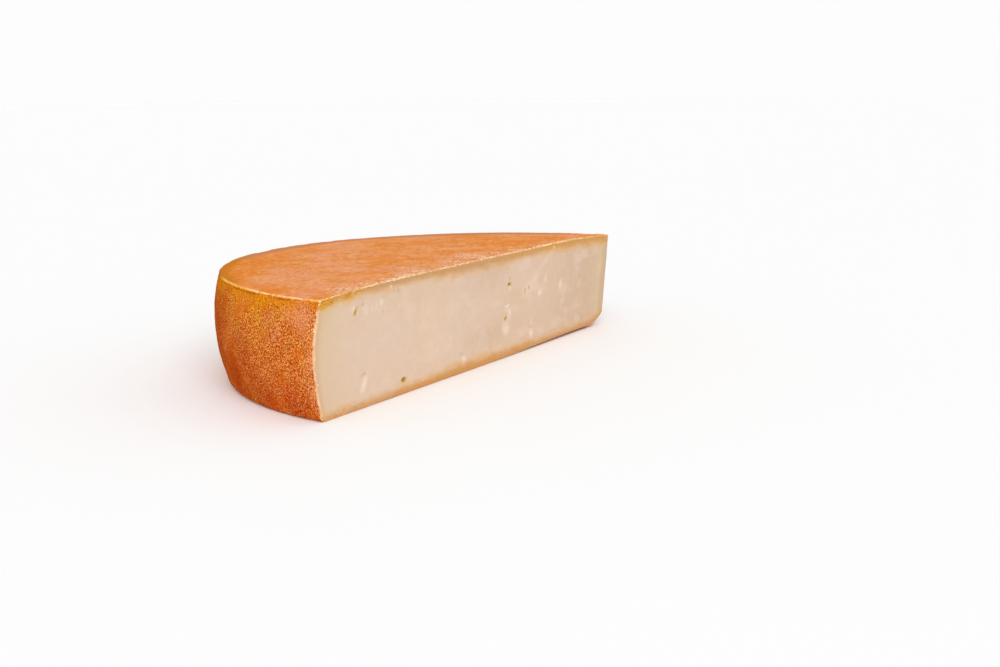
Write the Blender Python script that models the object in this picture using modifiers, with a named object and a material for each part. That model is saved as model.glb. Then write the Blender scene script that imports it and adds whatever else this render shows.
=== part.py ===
"""Half a wheel of raclette cheese, in metres, +Z up, standing on its flat base.

The wheel is turned whole, pushed a little out of true as a pressed and turned cheese is, and then
cut. The cut face looks towards -Y and runs along X. The origin is on the surface that the piece
stands on, under the middle of its footprint.
"""

import math

import bmesh
import bpy
from mathutils import Matrix, Vector

# The whole wheel
BELLY_RADIUS = 0.1552
BELLY_HEIGHT = 0.042
RIM_RADIUS = 0.1538
RIM_HEIGHT = 0.0594
FOOT_RADIUS = 0.1515
CROWN_RISE = 0.0026
CROWN_POWER = 4
CROWN_FLAT_RADIUS = 0.024
FOOT_ROUND_WIDTH = 0.003
FOOT_ROUND_HEIGHT = 0.005
BASE_RING_STEPS = 3
TURN_STEPS = 144
CROWN_STEPS = 8
SIDE_STEPS = 8
ROUND_STEPS = 4

# The thin raised line that the lid of the mould leaves round the top edge
RIDGE_WIDTH = 0.0018
RIDGE_RISE = 0.0006

# How far the wheel is out of true
LOBES = 3
LOBE_SIZE = 0.0019
LOBE_TURN = math.radians(115)
SIDE_PUSH = 0.0029
FOOT_PUSH = 0.0009
FAR_FOOT_LIFT = 0.0068
FAR_FOOT_REACH = 0.020

# The cut, which misses the wheel's axis and leans out at the top
CUT_OFF_AXIS = 0.0043
CUT_LEAN = math.atan(0.003 / 0.06)
CUT_BOX = (0.4, 0.2, 0.16)

# The eyes in the cut face: along it from the wheel's axis, up it, width, height, depth
EYES = (
    (-0.1268, 0.0503, 0.0030, 0.0056, 0.0016),
    (-0.0838, 0.0078, 0.0048, 0.0036, 0.0018),
    (-0.1188, 0.0150, 0.0056, 0.0064, 0.0006),
    (-0.0258, 0.0088, 0.0056, 0.0040, 0.0006),
    (0.0227, 0.0452, 0.0044, 0.0036, 0.0018),
    (0.0195, 0.0240, 0.0036, 0.0032, 0.0018),
    (0.0187, 0.0178, 0.0090, 0.0064, 0.0006),
    (0.0209, 0.0302, 0.0084, 0.0044, 0.0007),
    (0.0462, 0.0394, 0.0022, 0.0034, 0.0012),
    (0.0623, 0.0342, 0.0056, 0.0050, 0.0006),
    (0.0855, 0.0361, 0.0052, 0.0044, 0.0006),
    (0.0515, 0.0111, 0.0062, 0.0044, 0.0007),
)
EYE_SEGMENTS = 14
EYE_RINGS = 8
EYE_STAND_OFF = 0.0002

# Colours, as linear light
RIND_COLOUR = (0.62, 0.17, 0.028, 1.0)
PASTE_COLOUR = (0.73, 0.55, 0.38, 1.0)


def clear_scene():
    for obj in list(bpy.data.objects):
        bpy.data.objects.remove(obj)


def new_collection(name):
    collection = bpy.data.collections.new(name)
    bpy.context.scene.collection.children.link(collection)
    return collection


def new_material(name, colour, roughness):
    material = bpy.data.materials.new(name)
    material.use_nodes = True
    shader = material.node_tree.nodes["Principled BSDF"]
    shader.inputs["Base Color"].default_value = colour
    shader.inputs["Roughness"].default_value = roughness
    shader.inputs["Metallic"].default_value = 0.0
    material.diffuse_color = colour
    return material


def new_object(name, mesh, collection, material):
    mesh.materials.append(material)
    obj = bpy.data.objects.new(name, mesh)
    collection.objects.link(obj)
    return obj


def crown_height(radius):
    """The top face, level in the middle and falling away near the rim."""
    share = max(0.0, radius - CROWN_FLAT_RADIUS) / (RIM_RADIUS - CROWN_FLAT_RADIUS)
    return RIM_HEIGHT + CROWN_RISE * (1 - share**CROWN_POWER)


def side_radius(height):
    """The bulging side: fullest at the belly, drawn in towards the rim and more so at the foot."""
    if height > BELLY_HEIGHT:
        share = (height - BELLY_HEIGHT) / (RIM_HEIGHT - BELLY_HEIGHT)
        return BELLY_RADIUS - (BELLY_RADIUS - RIM_RADIUS) * share**2
    share = (BELLY_HEIGHT - height) / (BELLY_HEIGHT - FOOT_ROUND_HEIGHT)
    return BELLY_RADIUS - (BELLY_RADIUS - FOOT_RADIUS) * share**2


def wheel_profile():
    """Half the wheel's section as (radius, height), from the level of the top round to the base."""
    ridge_inside = RIM_RADIUS - RIDGE_WIDTH
    points = []
    for step in range(CROWN_STEPS + 1):
        turn = math.pi / 2 * step / CROWN_STEPS
        radius = CROWN_FLAT_RADIUS + (ridge_inside - CROWN_FLAT_RADIUS) * math.sin(turn)
        points.append((radius, crown_height(radius)))
    points.append((ridge_inside + 0.3 * RIDGE_WIDTH, RIM_HEIGHT + RIDGE_RISE))
    points.append((ridge_inside + 0.7 * RIDGE_WIDTH, RIM_HEIGHT + RIDGE_RISE))
    for step in range(SIDE_STEPS + 1):
        height = RIM_HEIGHT + (FOOT_ROUND_HEIGHT - RIM_HEIGHT) * step / SIDE_STEPS
        points.append((side_radius(height), height))
    for step in range(1, ROUND_STEPS + 1):
        turn = math.pi / 2 * step / ROUND_STEPS
        radius = FOOT_RADIUS - FOOT_ROUND_WIDTH * (1 - math.cos(turn))
        points.append((radius, FOOT_ROUND_HEIGHT * (1 - math.sin(turn))))
    edge_of_base = FOOT_RADIUS - FOOT_ROUND_WIDTH
    flat_base = FOOT_RADIUS - FAR_FOOT_REACH
    for step in range(1, BASE_RING_STEPS + 1):
        points.append((edge_of_base + (flat_base - edge_of_base) * step / BASE_RING_STEPS, 0.0))
    return points


def turn_wheel(collection, material):
    """The profile, turned right round the wheel's axis, with its level top and base filled in."""
    form = bmesh.new()
    corners = [form.verts.new((radius, 0.0, height)) for radius, height in wheel_profile()]
    for first, second in zip(corners, corners[1:]):
        form.edges.new((first, second))
    outline = bpy.data.meshes.new("wheel_outline")
    form.to_mesh(outline)
    form.clear()
    profile = new_object("wheel_profile", outline, collection, material)

    screw = profile.modifiers.new("turn", "SCREW")
    screw.axis = "Z"
    screw.angle = math.tau
    screw.steps = TURN_STEPS
    screw.render_steps = TURN_STEPS
    screw.use_merge_vertices = True
    screw.merge_threshold = 0.0001

    graph = bpy.context.evaluated_depsgraph_get()
    mesh = bpy.data.meshes.new_from_object(profile.evaluated_get(graph))
    mesh.name = "half_wheel"
    bpy.data.objects.remove(profile)

    form.from_mesh(mesh)
    open_edges = [edge for edge in form.edges if edge.is_boundary]
    bmesh.ops.holes_fill(form, edges=open_edges)
    bmesh.ops.recalc_face_normals(form, faces=form.faces)
    form.to_mesh(mesh)
    form.free()
    return mesh


def out_of_true(point):
    """Where a point of the true wheel lies in the real one. The flat of the base stays flat."""
    radius = math.hypot(point.x, point.y)
    angle = math.atan2(point.y, point.x)
    share = radius / BELLY_RADIUS
    grown = radius * (1 + LOBE_SIZE / BELLY_RADIUS * math.cos(LOBES * angle + LOBE_TURN) * share)
    height_share = min(point.z / RIM_HEIGHT, 1.0)
    push = SIDE_PUSH * math.sin(math.pi * height_share) + FOOT_PUSH * (1 - height_share)
    moved = Vector((grown * math.cos(angle) - push * share**2, grown * math.sin(angle), point.z))

    far = (1 + math.cos(angle)) / 2
    outward = max(0.0, 1 - (FOOT_RADIUS - radius) / FAR_FOOT_REACH)
    downward = max(0.0, 1 - point.z / FAR_FOOT_REACH)
    moved.z += FAR_FOOT_LIFT * far**2 * outward**2 * downward
    return moved


def cut_y(height):
    """How far behind the wheel's axis the knife passed at this height."""
    return CUT_OFF_AXIS + math.tan(CUT_LEAN) * (RIM_HEIGHT / 2 - height)


def cutting_box(collection, material):
    """All that the knife takes away: a box whose back face is the cut."""
    form = bmesh.new()
    bmesh.ops.create_cube(form, size=1.0)
    bmesh.ops.scale(form, vec=CUT_BOX, verts=form.verts)
    bmesh.ops.translate(form, vec=(0.0, -CUT_BOX[1] / 2, 0.0), verts=form.verts)
    mesh = bpy.data.meshes.new("knife_side")
    form.to_mesh(mesh)
    form.free()
    box = new_object("knife_side", mesh, collection, material)
    box.location = (0.0, cut_y(RIM_HEIGHT / 2), RIM_HEIGHT / 2)
    box.rotation_euler = (CUT_LEAN, 0.0, 0.0)
    return box


def eye_cutter(number, eye, collection, material):
    """One hole or dimple, as a flattened ball half sunk in the cut face, with its poles across it."""
    along, up, width, height, depth = eye
    form = bmesh.new()
    bmesh.ops.create_uvsphere(form, u_segments=EYE_SEGMENTS, v_segments=EYE_RINGS, radius=1.0)
    bmesh.ops.rotate(form, matrix=Matrix.Rotation(math.pi / 2, 3, "X"), verts=form.verts)
    bmesh.ops.scale(form, vec=(width / 2, depth + EYE_STAND_OFF, height / 2), verts=form.verts)
    mesh = bpy.data.meshes.new(f"eye_{number:02d}")
    form.to_mesh(mesh)
    form.free()
    ball = new_object(f"eye_{number:02d}", mesh, collection, material)
    ball.location = (along, cut_y(up) - EYE_STAND_OFF, up)
    ball.rotation_euler = (CUT_LEAN, 0.0, 0.0)
    return ball


def hide_cutter(obj):
    obj.hide_render = True
    obj.display_type = "WIRE"


def cut_with(obj, name, **operand):
    boolean = obj.modifiers.new(name, "BOOLEAN")
    boolean.operation = "DIFFERENCE"
    boolean.solver = "EXACT"
    boolean.material_mode = "TRANSFER"
    for key, value in operand.items():
        setattr(boolean, key, value)


def finished_bounds(obj):
    """The lowest and highest corner of the object as its modifiers leave it."""
    graph = bpy.context.evaluated_depsgraph_get()
    mesh = bpy.data.meshes.new_from_object(obj.evaluated_get(graph))
    places = [obj.matrix_world @ vertex.co for vertex in mesh.vertices]
    bpy.data.meshes.remove(mesh)
    low = Vector([min(place[axis] for place in places) for axis in range(3)])
    high = Vector([max(place[axis] for place in places) for axis in range(3)])
    return low, high


def main():
    clear_scene()
    pieces = new_collection("raclette_half_wheel")
    cutters = new_collection("cutters")
    eye_cutters = new_collection("eye_cutters")
    rind = new_material("rind", RIND_COLOUR, 0.6)
    paste = new_material("paste", PASTE_COLOUR, 0.5)

    mesh = turn_wheel(cutters, rind)
    for vertex in mesh.vertices:
        vertex.co = out_of_true(vertex.co)
    half_wheel = bpy.data.objects.new("half_wheel", mesh)
    pieces.objects.link(half_wheel)

    knife = cutting_box(cutters, paste)
    eyes = [eye_cutter(number, eye, eye_cutters, paste) for number, eye in enumerate(EYES, 1)]
    cut_with(half_wheel, "cut_in_half", object=knife)
    cut_with(half_wheel, "eyes", operand_type="COLLECTION", collection=eye_cutters)
    for cutter in [knife, *eyes]:
        hide_cutter(cutter)

    bpy.context.view_layer.update()
    low, high = finished_bounds(half_wheel)
    middle = (low + high) / 2
    for obj in [half_wheel, knife, *eyes]:
        obj.location -= Vector((middle.x, middle.y, low.z))
    mesh.shade_smooth()
    mesh.set_sharp_from_angle(angle=math.radians(35))


main()
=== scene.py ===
"""Half a wheel of raclette cheese on a pale table, under soft studio light.

The half wheel stands on its flat base. Its cut face is upright, looks towards -Y and runs along X.
Lengths are in metres.
"""
import math
import random
from collections import namedtuple

import bmesh
import bpy
from mathutils import Matrix, Vector, noise


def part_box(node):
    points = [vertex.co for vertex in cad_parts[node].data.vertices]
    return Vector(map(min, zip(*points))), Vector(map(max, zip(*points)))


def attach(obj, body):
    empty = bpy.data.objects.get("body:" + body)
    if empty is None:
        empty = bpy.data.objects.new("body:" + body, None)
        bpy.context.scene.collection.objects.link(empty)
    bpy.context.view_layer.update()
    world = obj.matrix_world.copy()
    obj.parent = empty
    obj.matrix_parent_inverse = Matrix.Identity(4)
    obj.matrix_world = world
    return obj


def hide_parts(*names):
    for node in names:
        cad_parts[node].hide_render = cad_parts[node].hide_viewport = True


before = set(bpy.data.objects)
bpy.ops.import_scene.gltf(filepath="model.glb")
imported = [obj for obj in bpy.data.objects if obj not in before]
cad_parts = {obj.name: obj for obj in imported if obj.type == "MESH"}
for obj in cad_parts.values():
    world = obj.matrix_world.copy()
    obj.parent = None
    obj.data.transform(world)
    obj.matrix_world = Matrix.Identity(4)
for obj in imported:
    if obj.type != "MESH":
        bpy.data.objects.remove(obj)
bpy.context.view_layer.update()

# The half wheel. One solid piece of semi-hard cheese, pressed in a round mould and rubbed with brine
# until it grew an orange rind. It is turned here as a whole wheel, cut with a knife just off the middle,
# and then pushed out of true, dented and pitted with eyes as the real one is.
BELLY_RADIUS = 0.1552
BELLY_HEIGHT = 0.042
RIM_RADIUS = 0.1538
RIM_HEIGHT = 0.0594
FOOT_RADIUS = 0.1515
FOOT_ROUND_WIDTH = 0.003
FOOT_ROUND_HEIGHT = 0.005
RIDGE_WIDTH = 0.0018
RIDGE_RISE = 0.0006
FAR_FOOT_REACH = 0.020
CUT_OFF_AXIS = 0.0043

# How finely it is meshed. The top band is a strip of the top along the ridge.
TURN_STEPS = 720
TOP_BAND = 0.0072
TOP_BAND_STEPS = 6
RIDGE_STEPS = 5
UNDER_RIM = 0.0036
UNDER_RIM_STEPS = 9
SIDE_STEPS = 42
ROUND_STEPS = 5
BASE_BAND_STEPS = 9
TOP_STEP = 0.0018
BASE_STEP = 0.004
CUT_STEP = 0.00075
EDGE_STEP = 0.0004
STEP_GROWTH = 1.25
NEARLY_EVEN = 1.01
SAME_PLACE = 0.00015
RIND, PASTE, TOP, BASE = range(4)


def side_radius(height):
    """The bulging side: fullest at the belly, drawn in towards the rim and more so at the foot."""
    if height > BELLY_HEIGHT:
        share = (height - BELLY_HEIGHT) / (RIM_HEIGHT - BELLY_HEIGHT)
        return BELLY_RADIUS - (BELLY_RADIUS - RIM_RADIUS) * share**2
    share = (BELLY_HEIGHT - height) / (BELLY_HEIGHT - FOOT_ROUND_HEIGHT)
    return BELLY_RADIUS - (BELLY_RADIUS - FOOT_RADIUS) * share**2


def section():
    """Half the wheel's section as (radius, height), from the top near its edge round to the base."""
    ridge_inside = RIM_RADIUS - RIDGE_WIDTH
    points = []
    for step in range(TOP_BAND_STEPS):
        points.append((ridge_inside - TOP_BAND * (1 - step / TOP_BAND_STEPS), RIM_HEIGHT))
    for step in range(RIDGE_STEPS + 1):
        share = step / RIDGE_STEPS
        rise = RIDGE_RISE * math.sin(math.pi * share)
        points.append((ridge_inside + RIDGE_WIDTH * share, RIM_HEIGHT + rise))
    for step in range(1, UNDER_RIM_STEPS + 1):
        height = RIM_HEIGHT - UNDER_RIM * step / UNDER_RIM_STEPS
        points.append((side_radius(height), height))
    top_of_side = RIM_HEIGHT - UNDER_RIM
    for step in range(1, SIDE_STEPS + 1):
        height = top_of_side + (FOOT_ROUND_HEIGHT - top_of_side) * step / SIDE_STEPS
        points.append((side_radius(height), height))
    for step in range(1, ROUND_STEPS + 1):
        turn = math.pi / 2 * step / ROUND_STEPS
        radius = FOOT_RADIUS - FOOT_ROUND_WIDTH * (1 - math.cos(turn))
        points.append((radius, FOOT_ROUND_HEIGHT * (1 - math.sin(turn))))
    edge_of_base = FOOT_RADIUS - FOOT_ROUND_WIDTH
    flat_base = FOOT_RADIUS - FAR_FOOT_REACH
    for step in range(1, BASE_BAND_STEPS + 1):
        points.append((edge_of_base + (flat_base - edge_of_base) * step / BASE_BAND_STEPS, 0.0))
    return points


def everything(form, faces=None):
    """The faces named, or all of them, with their edges and corners, always in the same order."""
    faces = list(form.faces) if faces is None else faces
    edges = dict.fromkeys(edge for face in faces for edge in face.edges)
    corners = dict.fromkeys(corner for face in faces for corner in face.verts)
    return [*corners, *edges, *faces]


def closer_at_ends(low, high, fine, coarse, far_end=True):
    """Places between two ends, a fine step apart at an end and a coarse step apart further in."""
    runs = [0.0]
    gap = fine
    while gap < coarse:
        runs.append(runs[-1] + gap)
        gap *= STEP_GROWTH
    start = low + runs[-1]
    stop = high - runs[-1] if far_end else high
    count = math.ceil((stop - start) / coarse)
    places = [low + run for run in runs[1:-1]]
    places += [start + (stop - start) * step / count for step in range(count + 1)]
    if far_end:
        places += [high - run for run in reversed(runs[1:-1])]
    return places


def slice_patch(form, patch, normal, places):
    """Slices the faces of one patch with planes square to the normal."""
    pieces = everything(form, [face for face in form.faces if face.material_index == patch])
    for place in places:
        sliced = bmesh.ops.bisect_plane(
            form, geom=pieces, dist=1e-6, plane_co=Vector(normal) * place, plane_no=normal
        )
        pieces = sliced["geom"]


def cut_wheel(form):
    """The section turned all the way round, filled in, cut in half, and sliced into small faces."""
    corners = [form.verts.new((radius, 0.0, height)) for radius, height in section()]
    for first, second in zip(corners, corners[1:]):
        form.edges.new((first, second))
    bmesh.ops.spin(
        form, geom=[*form.verts, *form.edges], cent=(0, 0, 0), axis=(0, 0, 1), dvec=(0, 0, 0),
        angle=math.tau, steps=TURN_STEPS, use_merge=True, use_duplicate=False,
    )
    rings = [edge for edge in form.edges if edge.is_boundary]
    for face in bmesh.ops.holes_fill(form, edges=rings)["faces"]:
        face.material_index = TOP if face.calc_center_median().z > RIM_HEIGHT / 2 else BASE
    bmesh.ops.recalc_face_normals(form, faces=form.faces)

    bmesh.ops.bisect_plane(
        form, geom=everything(form), dist=1e-6,
        plane_co=(0, CUT_OFF_AXIS, 0), plane_no=(0, -1, 0), clear_outer=True,
    )
    outline = [edge for edge in form.edges if edge.is_boundary]
    for face in bmesh.ops.holes_fill(form, edges=outline)["faces"]:
        face.material_index = PASTE
    bmesh.ops.recalc_face_normals(form, faces=form.faces)

    wide = (-BELLY_RADIUS, BELLY_RADIUS)
    deep = (CUT_OFF_AXIS, BELLY_RADIUS)
    for patch, normal, places in (
        (PASTE, (1, 0, 0), closer_at_ends(*wide, EDGE_STEP, CUT_STEP)),
        (PASTE, (0, 0, 1), closer_at_ends(0.0, RIM_HEIGHT, EDGE_STEP, CUT_STEP)),
        (TOP, (1, 0, 0), closer_at_ends(*wide, TOP_STEP, TOP_STEP * NEARLY_EVEN)),
        (TOP, (0, 1, 0), closer_at_ends(*deep, EDGE_STEP, TOP_STEP, far_end=False)),
        (BASE, (1, 0, 0), closer_at_ends(*wide, BASE_STEP, BASE_STEP * NEARLY_EVEN)),
        (BASE, (0, 1, 0), closer_at_ends(*deep, BASE_STEP, BASE_STEP * NEARLY_EVEN, far_end=False)),
    ):
        slice_patch(form, patch, normal, places)
    bmesh.ops.remove_doubles(form, verts=form.verts, dist=SAME_PLACE)


# The eyes, in millimetres: where along the cut from the wheel's axis, how far up, width, height and
# depth. The last number is the lean of the eye's top along the cut.
MM = 0.001
Hollow = namedtuple("Hollow", "along up width height depth lean")
EYES = tuple(Hollow(*(length * MM for length in lengths), lean) for *lengths, lean in (
    (-126.6, 50, 2.4, 3, 1, 0.3), (-125.4, 51.6, 1.4, 2.6, 0.4, 0.75),
    (-83.9, 7.8, 4.7, 2.8, 1.4, 0), (-119.3, 17.2, 3.4, 1.6, 0.3, 0),
    (-119, 13.2, 4.4, 6, 0.5, 0.25), (-25.8, 8.8, 5.6, 4, 0.6, 0), (23.3, 43.7, 3.8, 2.2, 1.2, 0),
    (23, 46.7, 2.2, 2, 0.4, 0), (19.8, 23.8, 2.8, 2.6, 1.1, 0.2), (19, 17.8, 9, 6.4, 0.6, 0),
    (46.7, 38.8, 1.6, 2.2, 0.8, 0.1), (42.2, 37.3, 1.6, 3.6, 0.4, 0.1),
    (60.6, 34.2, 5.6, 5, 0.6, 0), (87.3, 35.6, 5.2, 4.4, 0.6, 0), (51.5, 11.1, 6.2, 4.4, 0.7, 0),
    (90.3, 6.3, 2.2, 1.6, 0.4, 0),
))
# A flaky torn spot on the cut, between two of the eyes, in metres
FLAKY_SPOT = Hollow(0.022, 0.030, 0.009, 0.0052, 0.0007, 0)
STEEP_EYE = 0.25
# Depth at which an eye's hole takes its full painted shade
FULL_SHADE_DEPTH = 0.0012
EYE_LIP = 0.00008
BOWL_POWER = 2.6


def eye_reach(eye, place):
    """How far out from the eye's middle a place on the cut is, where 1 is the eye's uneven rim."""
    across = (place.x - eye.along - eye.lean * (place.z - eye.up)) / (eye.width / 2)
    above = (place.z - eye.up) / (eye.height / 2)
    turn = math.atan2(above, across)
    uneven = noise.noise(Vector((math.cos(turn) + eye.along * 900, math.sin(turn), eye.up * 900)))
    return math.hypot(across, above) / (1 + 0.18 * uneven)


def refine_eyes(form):
    """Smaller faces round each eye, and smaller still in the steep ones."""
    for reach, steepness in ((1.3, 0.0), (1.1, STEEP_EYE)):
        paste = [face for face in form.faces if face.material_index == PASTE]
        edges = {}
        for eye in (*EYES, FLAKY_SPOT):
            if eye.depth / min(eye.width, eye.height) < steepness:
                continue
            limit = reach * max(eye.width, eye.height) + CUT_STEP
            for face in paste:
                corner = face.verts[0].co
                if abs(corner.x - eye.along) > limit or abs(corner.z - eye.up) > limit:
                    continue
                if eye_reach(eye, face.calc_center_median()) < reach + 0.7 * CUT_STEP / eye.width:
                    edges.update(dict.fromkeys(face.edges))
        bmesh.ops.subdivide_edges(form, edges=list(edges), cuts=1, use_grid_fill=True)


# How far a corner is from the ridge over the rind, from the cut, from the top, the side and the base
PLACES = ("rim_run", "cut_gap", "under_top", "from_side", "above_base")


def note_places(form):
    """Writes on each corner where it lies on the true wheel, for the finishes to read."""
    layers = [form.verts.layers.float.new(name) for name in PLACES]
    for corner in form.verts:
        radius = math.hypot(corner.co.x, corner.co.y)
        height = corner.co.z
        run = radius - (RIM_RADIUS - RIDGE_WIDTH / 2)
        if height < RIM_HEIGHT - 1e-6:
            run = RIDGE_WIDTH / 2 + RIM_HEIGHT - height
            if height < FOOT_ROUND_HEIGHT:
                run += max(0.0, FOOT_RADIUS - radius)
        from_side = side_radius(max(height, FOOT_ROUND_HEIGHT)) - radius
        gaps = (run, corner.co.y - CUT_OFF_AXIS, RIM_HEIGHT - height, from_side, height)
        for layer, gap in zip(layers, gaps):
            corner[layer] = gap


# How the real wheel differs from a true one: the crown, three faint lobes, the push of its side, the
# lifts of its foot at the far end and along the cut, and the lean of the cut
CROWN_RISE = 0.0026
CROWN_POWER = 4
CROWN_FLAT_RADIUS = 0.024
LOBES = 3
LOBE_SIZE = 0.0019
LOBE_TURN = math.radians(115)
SIDE_PUSH = 0.0029
FOOT_PUSH = 0.0009
FAR_FOOT_LIFT = 0.0068
CUT_FOOT_LIFT = 0.0017
CUT_FOOT_REACH = 0.007
CUT_FOOT_FAR = 0.11
CUT_LEAN = math.atan(0.003 / 0.06)
LEAN_REACH = 0.030


def crown_height(radius):
    """The top face, level in the middle and falling away near the rim."""
    share = max(0.0, radius - CROWN_FLAT_RADIUS) / (RIM_RADIUS - CROWN_FLAT_RADIUS)
    return RIM_HEIGHT + CROWN_RISE * (1 - share**CROWN_POWER)


def cut_y(height):
    """How far behind the wheel's axis the knife passed at this height."""
    return CUT_OFF_AXIS + math.tan(CUT_LEAN) * (RIM_HEIGHT / 2 - height)


def between(value, low, high):
    """0 below low, 1 above high and a smooth rise from one to the other."""
    share = min(max((value - low) / (high - low), 0.0), 1.0)
    return share * share * (3 - 2 * share)


def real_place(point):
    """Where a point of the true wheel lies in the real one: crowned, out of true and cut aslant."""
    radius = math.hypot(point.x, point.y)
    angle = math.atan2(point.y, point.x)
    share = radius / BELLY_RADIUS
    height = point.z
    if radius < RIM_RADIUS - RIDGE_WIDTH:
        height += (crown_height(radius) - RIM_HEIGHT) * point.z / RIM_HEIGHT
    grown = radius * (1 + LOBE_SIZE / BELLY_RADIUS * math.cos(LOBES * angle + LOBE_TURN) * share)
    height_share = min(point.z / RIM_HEIGHT, 1.0)
    push = SIDE_PUSH * math.sin(math.pi * height_share) + FOOT_PUSH * (1 - height_share)
    moved = Vector((grown * math.cos(angle) - push * share**2, grown * math.sin(angle), height))

    far = (1 + math.cos(angle)) / 2
    outward = max(0.0, 1 - (FOOT_RADIUS - radius) / FAR_FOOT_REACH)
    downward = max(0.0, 1 - point.z / FAR_FOOT_REACH)
    moved.z += FAR_FOOT_LIFT * far**2 * outward**2 * downward
    low_edge = max(0.0, 1 - point.z / CUT_FOOT_REACH)
    low_edge *= max(0.0, 1 - (point.y - CUT_OFF_AXIS) / CUT_FOOT_REACH)
    moved.z += CUT_FOOT_LIFT * between(point.x, 0.0, CUT_FOOT_FAR) * low_edge**2

    near_cut = max(0.0, 1 - (point.y - CUT_OFF_AXIS) / LEAN_REACH)
    onto_cut = cut_y(moved.z) - grown * math.sin(angle) * CUT_OFF_AXIS / max(point.y, CUT_OFF_AXIS)
    moved.y += onto_cut * near_cut**2
    return moved


def stand_in_place(form):
    """Moves the piece so that its box lies on the solid's, which has its middle over the origin."""
    low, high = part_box("half_wheel")
    xs = [corner.co.x for corner in form.verts]
    ys = [corner.co.y for corner in form.verts]
    zs = [corner.co.z for corner in form.verts]
    shift = Vector((
        (low.x + high.x - min(xs) - max(xs)) / 2,
        (low.y + high.y - min(ys) - max(ys)) / 2,
        low.z - min(zs),
    ))
    bmesh.ops.translate(form, vec=shift, verts=form.verts)
    return shift


def bell(distance, width):
    """1 at no distance, falling smoothly to 0 at the width."""
    share = min(abs(distance) / width, 1.0)
    return (1 - share * share) ** 2


# Sizes of the rind's swells, dents and pebbles, and their heights: first at the rim or on the top,
# then what is added away from the rim or on the side
SWELL_SIZE = 0.040
SWELL_HEIGHTS = (0.00015, 0.00025)
DENT_SIZE = 0.012
DENT_HEIGHTS = (0.00003, 0.00007, 0.00020)
PEBBLE_SIZE = 0.0032
PEBBLE_HEIGHTS = (0.00003, 0.00007)
RIDGE_LOSS = 0.45
GROOVE_RUN = 0.0020
GROOVE_WIDTH = 0.0011
GROOVE_DEPTH = 0.00045
CHIP_REACH = 0.0014
CHIP_DEPTH = 0.0004
BURR_HEIGHT = 0.00030


def rind_relief(place, run):
    """How far the rind stands out from the smooth form: swells, dents, the broken ridge and its groove."""
    on_side = between(run, 0.0, 0.002)
    calm = between(abs(run), 0.001, 0.010)
    swell = (SWELL_HEIGHTS[0] + SWELL_HEIGHTS[1] * calm) * noise.noise(place / SWELL_SIZE)
    dents = DENT_HEIGHTS[0] + DENT_HEIGHTS[1] * calm + DENT_HEIGHTS[2] * calm * on_side
    dents *= noise.fractal(place / DENT_SIZE, 1.0, 2.0, 3)
    pebbles = PEBBLE_HEIGHTS[0] + PEBBLE_HEIGHTS[1] * on_side
    pebbles *= noise.fractal(place / PEBBLE_SIZE, 0.8, 2.0, 2)
    worn = between(noise.noise(place / 0.007), 0.0, 0.5)
    ridge = -RIDGE_LOSS * RIDGE_RISE * worn * bell(run, RIDGE_WIDTH * 0.7)
    cracked = between(noise.fractal(place / 0.016 + Vector((5, 5, 5)), 1.0, 2.0, 2), -0.15, 0.35)
    groove = -GROOVE_DEPTH * (0.25 + 0.75 * cracked) * bell(run - GROOVE_RUN, GROOVE_WIDTH)
    return swell + dents + pebbles + ridge + groove


def edge_burr(place, chips):
    """The lip that the knife dragged up along the cut, broken off in places, and none at the far end."""
    along_top = between(place.z, RIM_HEIGHT - 0.006, RIM_HEIGHT - 0.001) * (1 - between(place.x, 0.12, 0.15))
    near_side = between(-place.x, 0.12, 0.14) * (1 - along_top)
    lip = BURR_HEIGHT * (1 + chips)
    return along_top * lip - near_side * CHIP_DEPTH * between(chips, -0.1, 0.5)


# Height, length and width of the knife's waver and of its coarse and fine drag lines, which climb
# towards the near end
WAVER = (0.00022, 0.085, 0.050)
COARSE_LINES = (0.00007, 0.110, 0.0024)
FINE_LINES = (0.00003, 0.045, 0.0011)
LINE_SLOPE = 0.05
GRAIN_HEIGHT = 0.000022
GRAIN_SIZE = 0.0021


def ripple(height, length, width, along, up, layer):
    """Long waves of this height at a place on the cut. Each layer has waves of its own."""
    return height * noise.noise(Vector((along / length, up / width, layer)))


def cut_relief(place):
    """How far the cut face stands out from a true plane: the knife's waver, its drag lines and grain."""
    level = place.z + LINE_SLOPE * place.x
    waver = ripple(*WAVER, place.x, place.z, 3)
    lines = ripple(*COARSE_LINES, place.x, level, 7) + ripple(*FINE_LINES, place.x, level, 11)
    return waver + lines + GRAIN_HEIGHT * noise.fractal(place / GRAIN_SIZE, 1.0, 2.0, 2)


def eye_form(eye, place):
    """The eye's hollow at this place, how much painted shade its hole has there, and how much the place is
    of its rim and of a dimple.
    """
    reach = eye_reach(eye, place)
    if eye.depth / min(eye.width, eye.height) < STEEP_EYE:
        sunk = bell(reach, 1.15)
        return -eye.depth * sunk, 0.0, 0.0, sunk
    lip = EYE_LIP * bell(reach - 1.12, 0.3)
    sunk = math.sqrt(max(0.0, 1 - reach**BOWL_POWER)) if reach < 1 else 0.0
    hole_shade = sunk * min(1.0, eye.depth / FULL_SHADE_DEPTH)
    return lip - eye.depth * sunk, hole_shade, bell(reach - 1.0, 0.75), 0.0


FOOT_WEAR = 0.00025


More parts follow.
